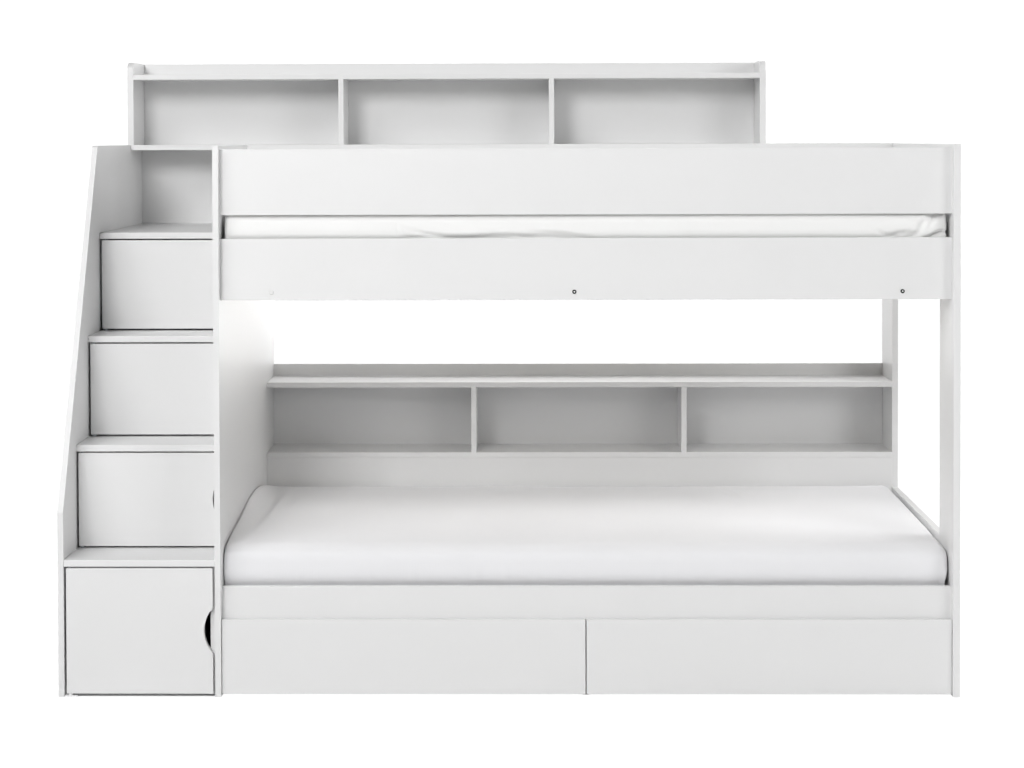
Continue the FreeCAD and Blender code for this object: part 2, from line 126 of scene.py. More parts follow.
# Creases of the upper sheet in mm: half width, height, and points by x and by height above the side rail
UPPER_CREASES = (
    (4.5, -9, ((-270, 26), (-214, 12), (-162, 3), (-95, 1), (10, 1))),
    (6, 4, ((-215, 22), (-150, 14), (-60, 15), (40, 17))),
    (4.5, -8, ((-95, 6), (-35, 9), (10, 8), (70, -1))),
    (4.5, -8, ((5, 5), (77, 5), (122, 5), (170, -1))),
    (5, -6, ((70, 18), (144, 11), (210, 2))),
    (6, 3, ((60, 24), (150, 20), (230, 10))),
    (4.5, -6, ((-275, 2), (-205, 4))),
    (6, -3, ((-289, 40), (-285, -4))),
    (5, -7, ((962, 18), (987, 7), (1030, -3))),
    (6, -12, ((996, 2), (1017, 9), (1060, 13))),
    (6, 4, ((1040, 4), (1070, 20), (1078, 40))),
    (9, -11, ((1030, -6), (1073, 13), (1082, 32), (1110, 66))),
    (6, 4, ((1085, 16), (1100, 36), (1112, 60))),
    (7, -12, ((1100, 28), (1112, 52), (1122, 70))),
    (9, -10, ((1094, 64), (1140, 64))),
    (4.5, -18, ((1092, -6), (1117, 9), (1134, 14), (1150, 12))),
)

# Depth of the sheets' front sides, behind which their tops begin
FRONT_DEPTH = 60 * MM

# How far each mattress reaches past its CAD ends, left and right, before its ends are pressed flat
END_REACH = {"lower": (5 * MM, 9 * MM), "upper": (-4 * MM, 4 * MM)}

# Gap that the sheets keep to the right front post
POST_GAP = 0.3 * MM

# Margin of the finer mesh above and below the slot between the upper rails
BAND_MARGIN = 10 * MM

# Share of a half wave left out at each end of a fold, so that its ends keep some height
FOLD_END = 0.06

# How far below the lower rail's top the lower sheet is drawn in, and how far that line runs past its ends
FOOT_DROP = 10 * MM
FOOT_OVERRUN = 1.5

# Seeds of the sheets' small folds
SEEDS = {"lower": 11, "upper": 12}

# Softboxes of the studio: place and width in metres, all aimed at the middle of the bed
BED_MIDDLE = Vector((0.0, 0.0, 0.8))
SOFTBOXES = {
    "key": ((-2.0, -5.5, 3.5), 1.6),
    "left": ((-3.5, -3.5, 5.0), 2.4),
    "right": ((4.4, -4.4, 2.5), 2.4),
    "side": ((3.4, 0.2, 2.6), 2.4),
    "back": ((0.5, 4.0, 1.2), 2.4),
    "high_back": ((0.0, 3.6, 3.4), 2.4),
}

# Strip light in the lower bunk's open back: its way in from the left, its size, aim and spread
STRIP_REACH = 1.0
STRIP_SIZE = (1.7, 0.22)
STRIP_AIM = Vector((-0.80, -0.55, 0.22))
STRIP_SPREAD = math.radians(50)

# Brightness at which the room and the floor look white to the camera, and the floor's share of that white
SEEN_WHITE = 1.12
FLOOR_GLOW = 0.9

# Half the width of the floor in metres, and how far behind the bed's front the floor under the stairs begins
FLOOR_HALF = 20.0
STAIR_SETBACK = 8 * MM


def linear(code):
    """An sRGB hex colour as linear RGB."""
    channels = [int(code[i:i + 2], 16) / 255 for i in (1, 3, 5)]
    return tuple(c / 12.92 if c <= 0.04045 else ((c + 0.055) / 1.055) ** 2.4 for c in channels)


def rgba(colour):
    """A colour property as the four numbers that a shader socket takes."""
    return (*colour, 1.0)


def length_setting(name, description, size):
    """A setting for a length, given in mm."""
    return FloatProperty(name=name, description=description, unit="LENGTH", default=size * MM)


def angle_setting(name, description, turn):
    """A setting for an angle, given in radians."""
    return FloatProperty(name=name, description=description, subtype="ANGLE", default=turn)


def power_setting(name, description, watts):
    """A setting for the power of a light."""
    return FloatProperty(name=name, description=description, unit="POWER", default=watts)


def colour_setting(name, description, code):
    """A setting for a colour, given as sRGB hex."""
    return FloatVectorProperty(name=name, description=description, subtype="COLOR", default=linear(code))


class BoardSettings(bpy.types.PropertyGroup):
    """Finish of the melamine boards"""
    face_colour: colour_setting("Face", "Colour of the board faces", "#E6E6E6")
    # The edge bands' own tone, set a little lighter than the faces: a painted highlight along the rounded
    # edges
    edge_highlight_colour: colour_setting("Edge band", "Colour of the rounded edge bands", "#EAEAEA")
    edge_radius: length_setting("Edge radius", "Rounding of the board edges", 1.2)
    nosing_radius: length_setting("Nosing radius", "Rounding of the treads' front edges", 3)


class FixingSettings(bpy.types.PropertyGroup):
    """Nails, screws, plugs, cover caps and door stops"""
    nail_radius: length_setting("Nail radius", "Radius of the back panels' nail heads", 3.2)
    nail_rise: length_setting("Nail rise", "Height of the nail heads", 0.3)
    nail_inset: length_setting("Nail inset", "From a panel's rim to its nails", 8)
    nail_pitch: length_setting("Nail pitch", "From nail to nail", 110)
    plug_radius: length_setting("Plug radius", "Radius of the plugs in the bolts' sockets", 2.5)
    plug_rise: length_setting("Plug rise", "Height of the plugs", 1.7)
    cap_radius: length_setting("Cap radius", "Radius of the cover cap on the left bolt", 6.2)
    cap_rise: length_setting("Cap rise", "Height of the cover cap", 2.2)
    screw_radius: length_setting("Screw radius", "Radius of the castor screws' heads", 3.5)
    screw_rise: length_setting("Screw rise", "Height of the screw heads", 1.8)
    screw_inset: length_setting("Screw inset", "From a castor plate's edge to its screws", 6.5)
    stop_width: length_setting("Stop width", "Width of the door stops", 14)
    stop_depth: length_setting("Stop depth", "Depth of the door stops", 16)


class SheetSettings(bpy.types.PropertyGroup):
    """Mattresses in their fitted sheets"""
    lower_colour: colour_setting("Lower sheet", "Colour of the lower sheet", "#ECECEE")
    upper_colour: colour_setting("Upper sheet", "Colour of the upper sheet", "#EFEFEE")
    cell: length_setting("Mesh cell", "Spacing of the sheet's mesh on its flat parts", 18)
    top_drop: length_setting("Top rounding", "Height of the rounded upper edges", 44)
    base_rise: length_setting("Base rounding", "Height of the drawn-in lower edges", 62)
    front_sink: length_setting("Front sink", "Fall of the top towards the front edge", 11)
    swell: length_setting("Swell", "Most that the filling pushes the sheet out", 5)
    bulge: length_setting("Bulge", "Swelling of the upper sheet between guard and side rail", 12)
    pressure: FloatProperty(name="Pressure", description="Pressure of the filling on the sheet", default=4.0)
    frames: IntProperty(name="Frames", description="Length of the sheet's simulation", default=20)


class StageSettings(bpy.types.PropertyGroup):
    """Camera and lights of the studio"""
    camera_place: FloatVectorProperty(name="Camera place", description="Where the camera stands",
                                      subtype="TRANSLATION", unit="LENGTH", default=(0.0835, -5.9865, 1.4608))
    camera_pitch: angle_setting("Pitch", "Tilt of the camera above the horizon", -0.0239)
    camera_yaw: angle_setting("Yaw", "Turn of the camera to the left", 0.0128)
    camera_roll: angle_setting("Roll", "Clockwise roll of the camera", 0.0029)
    focal_pixels: FloatProperty(name="Focal length", description="Focal length in photograph pixels",
                                default=2089.4)
    shift_pixels: FloatProperty(name="Shift", description="Rise of the optical axis over the frame's middle, "
                                                          "in photograph pixels", default=196.5)
    back_room: FloatProperty(name="Room behind", description="Room light from the wall side", default=0.52)
    left_room: FloatProperty(name="Room at the left", description="Room light from the left", default=0.11)
    key_power: power_setting("Key softbox", "Key light, left of the camera", 157.0)
    left_power: power_setting("Left softbox", "High softbox at the left front", 130.0)
    right_power: power_setting("Right softbox", "Softbox at the right front", 87.0)
    side_power: power_setting("Side softbox", "High softbox at the right end", 64.0)
    back_power: power_setting("Back softbox", "Softbox behind the bed", 32.0)
    high_back_power: power_setting("High back softbox", "High softbox behind the bed", 62.0)
    strip_power: power_setting("Strip light", "Strip in the open back of the lower bunk", 1.9)


def add_node(tree, kind, settings=None, values=None, links=None):
    """Add a node with its settings, socket values and incoming links."""
    made = tree.nodes.new(kind)
    for key, value in (settings or {}).items():
        setattr(made, key, value)
    for socket, value in (values or {}).items():
        made.inputs[socket].default_value = value
    for socket, source in (links or {}).items():
        tree.links.new(source, made.inputs[socket])
    return made


def new_material(name):
    """An empty material and its tree."""
    material = bpy.data.materials.new(name)
    material.use_nodes = True
    tree = material.node_tree
    tree.nodes.clear()
    return material, tree


def piece_place(tree):
    """The place on the piece, in metres, that a texture follows."""
    return add_node(tree, "ShaderNodeTexCoord").outputs["Object"]


def noise(tree, place, size, detail):
    """Noise with features of a size in metres."""
    return add_node(tree, "ShaderNodeTexNoise", values={"Scale": 1 / size, "Detail": detail},
                    links={"Vector": place}).outputs["Fac"]


def blend(tree, low, high, share):
    """Two colours mixed by a share."""
    return add_node(tree, "ShaderNodeMix", {"data_type": "RGBA"}, {6: rgba(low), 7: rgba(high)},
                    {0: share}).outputs[2]


def span(tree, low, high, share):
    """A number between two others by a share."""
    return add_node(tree, "ShaderNodeMapRange", values={"To Min": low, "To Max": high},
                    links={"Value": share}).outputs["Result"]


def relief(tree, height, strength, depth):
    """A shallow relief from a height between 0 and 1."""
    return add_node(tree, "ShaderNodeBump", values={"Strength": strength, "Distance": depth},
                    links={"Height": height}).outputs["Normal"]


def add_up(tree, total, part):
    """The sum of two numbers, of which the first may not be there yet."""
    if total is None:
        return part
    return add_node(tree, "ShaderNodeMath", {"operation": "ADD"}, links={0: total, 1: part}).outputs[0]


def coat(tree, links, values=None):
    """End a material with a principled shader: its linked sockets and its uniform ones."""
    shader = add_node(tree, "ShaderNodeBsdfPrincipled", values=values, links=links)
    add_node(tree, "ShaderNodeOutputMaterial", links={"Surface": shader.outputs["BSDF"]})


def melamine(name, colour, roughness):
    """Melamine-faced chipboard, pressed against a finely stippled plate: a cool white satin face.

    The real stipple is about 0.5 mm; it is drawn at 4 mm so that it shows, and kept very shallow.
    """
    material, tree = new_material(name)
    place = piece_place(tree)
    cloud = noise(tree, place, 260 * MM, 2.0)
    stipple = noise(tree, place, 4 * MM, 3.0)
    coat(tree, {"Base Color": blend(tree, [c * 0.975 for c in colour], colour, cloud),
                "Roughness": span(tree, roughness - 0.05, roughness + 0.07, stipple),
                "Normal": relief(tree, stipple, 0.06, 0.15 * MM)})
    return material


def planed_pine():
    """Planed pine, limed white: near-white early wood with pale beige late-wood lines along the grain.

    The lines are about 13 mm apart, as wide as on a flat-sawn board.
    """
    material, tree = new_material("planed_pine")
    drawn = add_node(tree, "ShaderNodeMapping", values={"Scale": (1.0, 0.06, 1.0)},
                     links={"Vector": piece_place(tree)}).outputs["Vector"]
    rings = add_node(tree, "ShaderNodeTexWave", {"wave_type": "BANDS", "bands_direction": "X"},
                     {"Scale": 25.0, "Distortion": 6.0, "Detail": 2.0},
                     {"Vector": drawn}).outputs["Fac"]
    grain = blend(tree, linear("#F1EEE8"), linear("#E4DED3"), rings)
    tone = add_node(tree, "ShaderNodeMix", {"data_type": "RGBA", "blend_type": "MULTIPLY"},
                    {0: 0.2, 7: rgba(linear("#F1ECE4"))}, {6: grain}).outputs[2]
    wander = noise(tree, drawn, 60 * MM, 3.0)
    coat(tree, {"Base Color": tone, "Normal": relief(tree, wander, 0.25, 0.2 * MM)}, {"Roughness": 0.62})
    return material


def zinc_plate():
    """Bright zinc on pressed steel: a cool grey metal with faint clouding."""
    material, tree = new_material("zinc_plated_steel")
    cloud = noise(tree, piece_place(tree), 6 * MM, 4.0)
    coat(tree, {"Base Color": blend(tree, linear("#8E9196"), linear("#C4C7CB"), cloud),
                "Roughness": span(tree, 0.24, 0.42, cloud)}, {"Metallic": 1.0})
    return material


def blackened_steel():
    """Black-oxide steel, waxed: a near-black metal with a soft gloss and grey rubbed patches."""
    material, tree = new_material("blackened_steel")
    rub = noise(tree, piece_place(tree), 3 * MM, 3.0)
    coat(tree, {"Base Color": blend(tree, linear("#161617"), linear("#2A2A2C"), rub),
                "Roughness": span(tree, 0.38, 0.55, rub)}, {"Metallic": 0.6})
    return material


def powder_coat():
    """White powder coat on steel plate: a satin skin with a fine orange peel, drawn at 2 mm to show."""
    material, tree = new_material("white_powder_coat")
    peel = noise(tree, piece_place(tree), 2 * MM, 1.0)
    coat(tree, {"Base Color": blend(tree, linear("#E2E2E2"), linear("#E9E9E9"), peel),
                "Normal": relief(tree, peel, 0.2, 0.1 * MM)}, {"Roughness": 0.4})
    return material


def moulded_plastic(name, low, high, roughness):
    """Injection-moulded plastic with a spark-eroded matte skin, drawn at 1.5 mm so that it shows."""
    material, tree = new_material(name)
    skin = noise(tree, piece_place(tree), 1.5 * MM, 2.0)
    coat(tree, {"Base Color": blend(tree, linear(low), linear(high), skin),
                "Normal": relief(tree, skin, 0.15, 0.1 * MM)}, {"Roughness": roughness})
    return material


def cotton(name, colour):
    """Cotton percale, plain woven: a soft white with a faint sheen.

    The real threads are 0.3 mm apart; they are drawn 4 mm apart so that the weave shows near by.
    """
    material, tree = new_material(name)
    place = piece_place(tree)
    height = None
    for direction in "XYZ":
        threads = add_node(tree, "ShaderNodeTexWave", {"wave_type": "BANDS", "bands_direction": direction},
                           {"Scale": WAVE_LENGTH / (4 * MM), "Distortion": 0.6, "Detail": 1.0},
                           {"Vector": place}).outputs["Fac"]
        height = add_up(tree, height, threads)
    cloud = noise(tree, place, 180 * MM, 3.0)
    coat(tree, {"Base Color": blend(tree, [c * 0.97 for c in colour], colour, cloud),
                "Normal": relief(tree, height, 0.10, 0.3 * MM)},
         {"Roughness": 0.85, "Sheen Weight": 0.15, "Sheen Roughness": 0.5})
    return material


def floor_paint(name, glow):
    """Matt white paint of the floor, of which a share looks plain white to the camera."""
    material, tree = new_material(name)
    paint = add_node(tree, "ShaderNodeBsdfPrincipled",
                     values={"Base Color": rgba(linear("#F4F4F4")), "Roughness": 0.9}).outputs["BSDF"]
    seen = add_node(tree, "ShaderNodeLightPath").outputs["Is Camera Ray"]
    share = add_node(tree, "ShaderNodeMath", {"operation": "MULTIPLY"}, {1: glow}, {0: seen}).outputs[0]
    white = add_node(tree, "ShaderNodeEmission", values={"Strength": SEEN_WHITE}).outputs["Emission"]
    mixed = add_node(tree, "ShaderNodeMixShader", links={0: share, 1: paint, 2: white}).outputs["Shader"]
    add_node(tree, "ShaderNodeOutputMaterial", links={"Surface": mixed})
    return material


def add_object(name, data):
    """A new object in the scene."""
    made = bpy.data.objects.new(name, data)
    bpy.context.scene.collection.objects.link(made)
    return made


def soften(item, radius):
    """Weld a CAD node's loose triangles and round its sharp edges with the edge-band finish, set lighter than
    the faces as a painted highlight along the edges.
    """
    weld = item.modifiers.new("weld", "WELD")
    weld.merge_threshold = WELD_REACH
    bevel = item.modifiers.new("edge_band", "BEVEL")
    bevel.width = radius
    bevel.segments = 2
    bevel.limit_method = "ANGLE"
    bevel.angle_limit = SHARP_EDGE
    bevel.use_clamp_overlap = True
    # The rounding takes the last slot, the lighter edge finish that paints a highlight along the edges
    bevel.material = len(item.material_slots) - 1


def plain_board(name, low, high, look):
    """A board of the drilled node's size with rounded edges; the fixings cover its holes."""
    mesh = bmesh.new()
    bmesh.ops.create_cube(mesh, size=1.0, matrix=Matrix.LocRotScale((low + high) / 2, None, high - low))
    nosing = [edge for edge in mesh.edges if "tread" in name
              and all(v.co.y < low.y + MM and v.co.z > high.z - MM for v in edge.verts)]
    bands = []
    if nosing:
        bands += bmesh.ops.bevel(mesh, geom=nosing, offset=look.nosing_radius, segments=4, profile=0.5,
                                 affect="EDGES")["faces"]
    sharp = [edge for edge in mesh.edges if edge.calc_face_angle(0) > SHARP_EDGE]
    bands += bmesh.ops.bevel(mesh, geom=sharp, offset=look.edge_radius, segments=2, profile=0.5,
                             affect="EDGES")["faces"]
    # The rounded faces take the second slot, the lighter edge finish that paints a highlight along the edges
    for face in bands:
        if face.is_valid:
            face.material_index = 1
    data = bpy.data.meshes.new(name)
    mesh.to_mesh(data)
    mesh.free()
    return add_object(name, data)


def dress(item, *materials):
    """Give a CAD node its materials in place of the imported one."""
    item.data.materials.clear()
    for material in materials:
        item.data.materials.append(material)


class BUNK_OT_boards(bpy.types.Operator):
    """Finish every white board and round its edges"""
    bl_idname = "bunk.boards"
    bl_label = "Finish the boards"

    def execute(self, context):
        look = context.scene.bunk_board
        face = melamine("white_melamine_board", look.face_colour, 0.42)
        # Edges: the band's tone set lighter and glossier than the faces, a painted highlight along the
        # rounded edges
        edge = melamine("white_edge_band", look.edge_highlight_colour, 0.34)
        for name, item in frame["nodes"].items():
            if NODE_SLOTS[name] != "white_board":
                continue
            if name in DRILLED_BOARDS:
                piece = plain_board(name + "_finished", *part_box(name), look)
                dress(piece, face, edge)
                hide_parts(name)
                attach(piece, "bed")
            else:
                dress(item, face, edge)
                soften(item, look.edge_radius)
        return {"FINISHED"}


def vertex_array(data, field):
    """A per-vertex vector field of a mesh as an array."""
    values = numpy.zeros(len(data.vertices) * 3)
    data.vertices.foreach_get(field, values)
    return values.reshape(-1, 3)


def place_vertices(data, places):
    """Put a mesh's points at an array of places."""
    data.vertices.foreach_set("co", places.ravel())
    data.update()


def set_inputs(modifier, values):
    """Set a Geometry Nodes modifier's inputs, found by name and set by identifier."""
    for item in modifier.node_group.interface.items_tree:
        if item.in_out == "INPUT" and item.name in values:
            modifier[item.identifier] = values[item.name]


def new_tree(name, inputs):
    """An empty Geometry Nodes tree with named inputs and one geometry output."""
    tree = bpy.data.node_groups.new(name, "GeometryNodeTree")
    for label, kind in inputs.items():
        tree.interface.new_socket(label, in_out="INPUT", socket_type="NodeSocket" + kind)
    tree.interface.new_socket("Pieces", in_out="OUTPUT", socket_type="NodeSocketGeometry")
    return tree, add_node(tree, "NodeGroupInput").outputs


def close_tree(tree, instances, finish):
    """End a tree with real geometry in its finish."""
    real = add_node(tree, "GeometryNodeRealizeInstances", links={"Geometry": instances})
    dressed = add_node(tree, "GeometryNodeSetMaterial",
                       links={"Geometry": real.outputs["Geometry"], "Material": finish})
    add_node(tree, "NodeGroupOutput", links={"Pieces": dressed.outputs["Geometry"]})


def heads_tree():
    """Round heads on given places, all facing one way: nails, screws, plugs and cover caps."""
    tree, given = new_tree("fixing_heads", {"Places": "Geometry", "Radius": "Float", "Rise": "Float",
                                            "Facing": "Vector", "Finish": "Material"})
    crown = add_node(tree, "ShaderNodeMath", {"operation": "MULTIPLY"}, {1: HEAD_CROWN}, {0: given["Radius"]})
    head = add_node(tree, "GeometryNodeMeshCone", values={"Vertices": HEAD_SIDES},
                    links={"Radius Top": crown.outputs[0], "Radius Bottom": given["Radius"],
                           "Depth": given["Rise"]})
    turn = add_node(tree, "FunctionNodeAlignRotationToVector", {"axis": "Z"},
                    links={"Vector": given["Facing"]})
    row = add_node(tree, "GeometryNodeInstanceOnPoints",
                   links={"Points": given["Places"], "Instance": head.outputs["Mesh"],
                          "Rotation": turn.outputs["Rotation"]})
    close_tree(tree, row.outputs["Instances"], given["Finish"])
    return tree


def battens_tree():
    """Upright battens on given places, each as tall as its place says."""
    tree, given = new_tree("upright_battens", {"Places": "Geometry", "Width": "Float", "Depth": "Float",
                                               "Finish": "Material"})
    tall = add_node(tree, "GeometryNodeInputNamedAttribute", {"data_type": "FLOAT"}, {"Name": "tall"})
    size = add_node(tree, "ShaderNodeCombineXYZ", links={"X": given["Width"], "Y": given["Depth"],
                                                         "Z": tall.outputs["Attribute"]})
    batten = add_node(tree, "GeometryNodeMeshCube", values={"Size": (1.0, 1.0, 1.0)})
    row = add_node(tree, "GeometryNodeInstanceOnPoints",
                   links={"Points": given["Places"], "Instance": batten.outputs["Mesh"],
                          "Scale": size.outputs["Vector"]})
    close_tree(tree, row.outputs["Instances"], given["Finish"])
    return tree


def place_pieces(name, tree, places, values, talls=None):
    """Run a tree on a list of places and keep the result as a plain mesh."""
    data = bpy.data.meshes.new(name + "_places")
    data.from_pydata(places, [], [])
    if talls:
        data.attributes.new("tall", "FLOAT", "POINT").data.foreach_set("value", talls)
    piece = add_object(name, data)
    made = piece.modifiers.new("made", "NODES")
    made.node_group = tree
    set_inputs(made, values)
    piece.data = bpy.data.meshes.new_from_object(piece.evaluated_get(bpy.context.evaluated_depsgraph_get()))
    piece.modifiers.remove(made)
    bpy.data.meshes.remove(data)
    return piece


def spread(start, end, pitch):
    """Even stops from start to end, about a pitch apart."""
    count = max(1, round((end - start) / pitch))
    return [start + (end - start) * i / count for i in range(count + 1)]


def rim_places(low, high, inset, pitch):
    """Places round the rim of a panel's rear face."""
    x0, x1, z0, z1 = low.x + inset, high.x - inset, low.z + inset, high.z - inset
    places = [(x, high.y, z) for x in spread(x0, x1, pitch) for z in (z0, z1)]
    return places + [(x, high.y, z) for z in spread(z0, z1, pitch)[1:-1] for x in (x0, x1)]


class BUNK_OT_fittings(bpy.types.Operator):
    """Finish the slats, bearers, castors, catches and metal fittings"""
    bl_idname = "bunk.fittings"
    bl_label = "Finish the fittings"

    def execute(self, context):
        finishes = {
            "pine": planed_pine(),
            "zinc_steel": zinc_plate(),
            "white_enamel": powder_coat(),
            "castor_plastic": moulded_plastic("moulded_nylon", "#202123", "#2C2D30", 0.5),
            "catch_plastic": moulded_plastic("moulded_abs", "#DFDFDE", "#E8E8E7", 0.45),
        }
        for name, item in frame["nodes"].items():
            finish = finishes.get(NODE_SLOTS[name])
            if finish:
                dress(item, finish)
        dress(frame["nodes"]["bearer_bolts"], blackened_steel())
        return {"FINISHED"}


class BUNK_OT_fixings(bpy.types.Operator):
    """Set the nails, screws, plugs, cover caps and door stops"""
    bl_idname = "bunk.fixings"
    bl_label = "Set the fixings"

    def execute(self, context):
        look = context.scene.bunk_fixing
        heads = heads_tree()
        zinc = bpy.data.materials["zinc_plated_steel"]
        cap_white = bpy.data.materials["moulded_abs"]
        for name, places, radius, rise, facing, finish, slot, body in self.groups(look, zinc, cap_white):
            piece = place_pieces(name, heads, places, {"Radius": radius, "Rise": rise, "Facing": facing,
                                                       "Finish": finish})
            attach(piece, body)
        self.set_stops(look)
        return {"FINISHED"}

    def groups(self, look, zinc, cap_white):
        """Each row of heads: name, places, radius, rise, facing, finish, slot and body."""
        nails = []
        for name in ("lower_bookcase_back", "upper_bookcase_back", "stair_back_panel"):
            nails += rim_places(*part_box(name), look.nail_inset, look.nail_pitch)
        yield ("back_panel_nails", nails, look.nail_radius, look.nail_rise, (0, 1, 0), zinc,
               "zinc_steel", "bed")
        bolts = self.bolt_heads()
        yield ("bolt_plugs", bolts[1:], look.plug_radius, look.plug_rise, (0, -1, 0), cap_white,
               "catch_plastic", "bed")
        yield ("bolt_cap", bolts[:1], look.cap_radius, look.cap_rise, (0, -1, 0), cap_white,
               "catch_plastic", "bed")
        for side in ("left", "right"):
            drawer = side + "_drawer"
            screws = self.plate_screws(drawer + "_castor_forks", look)
            yield (drawer + "_castor_screws", screws, look.screw_radius, look.screw_rise, (0, 0, -1), zinc,
                   "zinc_steel", drawer)

    def bolt_heads(self):
        """Middles of the three bolt heads on the front rail, at the floor of their sockets, left to right."""
        spots = vertex_array(frame["nodes"]["bearer_bolts"].data, "co")
        front = spots[:, 1].min()
        faces = spots[spots[:, 1] < front + FACE_DEPTH]
        places = []
        for low, high in zip(*bunches(faces[:, 0], BOLT_GAP)):
            near = faces[(faces[:, 0] >= low) & (faces[:, 0] <= high)]
            middle = (near[:, 2].min() + near[:, 2].max()) / 2
            places.append(((low + high) / 2, front + SOCKET_DEPTH, middle))
        return places

    def plate_screws(self, node, look):
        """Four places under each castor plate of a drawer."""
        spots = vertex_array(frame["nodes"][node].data, "co")
        top = spots[:, 2].max()
        plates = spots[spots[:, 2] > top - PLATE_DEPTH]
        under = plates[:, 2].min()
        places = []
        for x0, x1 in zip(*bunches(plates[:, 0], PLATE_GAP)):
            for y0, y1 in zip(*bunches(plates[:, 1], PLATE_GAP)):
                inset = look.screw_inset
                places += [(x, y, under) for x in (x0 + inset, x1 - inset) for y in (y0 + inset, y1 - inset)]
        return places

    def set_stops(self, look):
        """A stop behind the free edge of each staircase door, on the end panel."""
        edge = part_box("left_end_panel")[0].x
        places, talls = [], []
        for step in range(1, 5):
            low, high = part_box("stair_door_%d" % step)
            places.append((edge - look.stop_width / 2, high.y + STOP_ROOM + look.stop_depth / 2,
                           (low.z + high.z) / 2))
            talls.append(high.z - low.z)
        face = bpy.data.materials["white_melamine_board"]
        piece = place_pieces("door_stops", battens_tree(), places,
                             {"Width": look.stop_width, "Depth": look.stop_depth, "Finish": face}, talls)
        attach(piece, "bed")


def bunches(values, apart):
    """Lowest and highest value of each bunch in a row of numbers with wide gaps between the bunches."""
    row = numpy.sort(values)
    breaks = numpy.flatnonzero(numpy.diff(row) > apart)
    lows = row[numpy.concatenate(([0], breaks + 1))]
    highs = row[numpy.concatenate((breaks, [len(row) - 1]))]
    return lows.tolist(), highs.tolist()


def grid_stops(half, edges, cell):
    """Grid lines from -half to half: close across the two rounded edges, even between them."""
    low, high = -half + edges[0], half - edges[1]
    count = max(2, round((high - low) / cell))
    stops = [-half + edges[0] * i / EDGE_STEPS for i in range(EDGE_STEPS)]
    stops += [low + (high - low) * i / count for i in range(count + 1)]
    return stops + [half - edges[1] * i / EDGE_STEPS for i in reversed(range(EDGE_STEPS))]


def sheeted_block(name, low, high, sheet, rounding, sink):
    """A closed block of quads with its own rounding on each side, the form of a sheeted mattress.

    The rounding grows from the base to the top, and the top sinks towards the front.
    """
    centre = (low + high) / 2
    half = (high - low) / 2
    heights = (sheet.base_rise, sheet.top_drop)
    stops = [grid_stops(half[axis], rounding[axis], sheet.cell) for axis in (0, 1)]
    stops.append(grid_stops(half.z, heights, sheet.cell))
    last = [len(line) - 1 for line in stops]
    made = {}
    mesh = bmesh.new()

    def corner(i, j, k):
        key = (i, j, k)
        if key not in made:
            spot = Vector((stops[0][i], stops[1][j], stops[2][k]))
            rise = min(max(spot.z / half.z * 0.5 + 0.5, 0), 1)
            ease = rise ** 3
            core, radii = Vector(spot), Vector((1, 1, 1))
            for axis in range(3):
                way = 0 if spot[axis] < 0 else 1
                r = heights[way]
                if axis < 2:
                    base = BASE_ROUNDING[axis][way]
                    r = base + (rounding[axis][way] - base) * ease
                reach = half[axis] - r
                core[axis] = max(-reach, spot[axis]) if way == 0 else min(reach, spot[axis])
                radii[axis] = r
            away = Vector([(s - c) / r for s, c, r in zip(spot, core, radii)])
            if away.length:
                away.normalize()
            place = core + Vector([a * r for a, r in zip(away, radii)])
            along = (place.y + half.y) / (2 * half.y)
            place.z -= sink * (1 - along) ** 2 * rise
            made[key] = mesh.verts.new(centre + place)
        return made[key]

    def side(fixed, value, flip):
        first, second = [axis for axis in range(3) if axis != fixed]
        for a in range(last[first]):
            for b in range(last[second]):
                ring = []
                for da, db in ((0, 0), (1, 0), (1, 1), (0, 1)):
                    index = [0, 0, 0]
                    index[fixed] = value
                    index[first] = a + da
                    index[second] = b + db
                    ring.append(corner(*index))
                mesh.faces.new(ring[::-1] if flip else ring)

    for fixed in range(3):
        side(fixed, last[fixed], fixed == 1)
        side(fixed, 0, fixed != 1)
    data = bpy.data.meshes.new(name)
    mesh.to_mesh(data)
    mesh.free()
    data.shade_smooth()
    return add_object(name, data)


def swell(piece, sheet, low, high):
    """Let the filling press the sheet out in a short cloth simulation, kept to the bunk's room."""
    rest = vertex_array(piece.data, "co")
    seat = piece.vertex_groups.new(name="seat")
    seat.add([i for i, spot in enumerate(rest) if spot[2] < low.z + SEAT_HEIGHT], 1.0, "REPLACE")
    cloth = piece.modifiers.new("filling", "CLOTH")
    cloth.settings.quality = CLOTH_QUALITY
    cloth.settings.use_pressure = True
    cloth.settings.uniform_pressure_force = sheet.pressure
    cloth.settings.vertex_group_mass = "seat"
    cloth.settings.effector_weights.gravity = 0.0
    scene = bpy.context.scene
    for step in range(1, sheet.frames + 1):
        scene.frame_set(step)
    shaped = piece.evaluated_get(bpy.context.evaluated_depsgraph_get())
    result = vertex_array(shaped.data, "co")
    piece.modifiers.remove(cloth)
    piece.vertex_groups.remove(seat)
    scene.frame_set(1)
    move = result - rest
    reach = numpy.linalg.norm(move, axis=1, keepdims=True)
    move *= numpy.minimum(1.0, sheet.swell / numpy.maximum(reach, 1e-9))
    placed = rest + move
    room = numpy.array([0.0, SIDE_ROOM, 0.0])
    room_low, room_high = numpy.array(low) - room, numpy.array(high) + room + [0, 0, sheet.swell]
    least, most = placed.min(axis=0), placed.max(axis=0)
    placed = room_low + (placed - least) * (room_high - room_low) / (most - least)
    place_vertices(piece.data, placed)


def refine(piece):
    """Subdivide a piece once for good, so that its folds have points to move."""
    smooth = piece.modifiers.new("smooth", "SUBSURF")
    smooth.levels = smooth.render_levels = 1
    coarse = piece.data
    shaped = piece.evaluated_get(bpy.context.evaluated_depsgraph_get())
    piece.data = bpy.data.meshes.new_from_object(shaped)
    piece.modifiers.remove(smooth)
    bpy.data.meshes.remove(coarse)


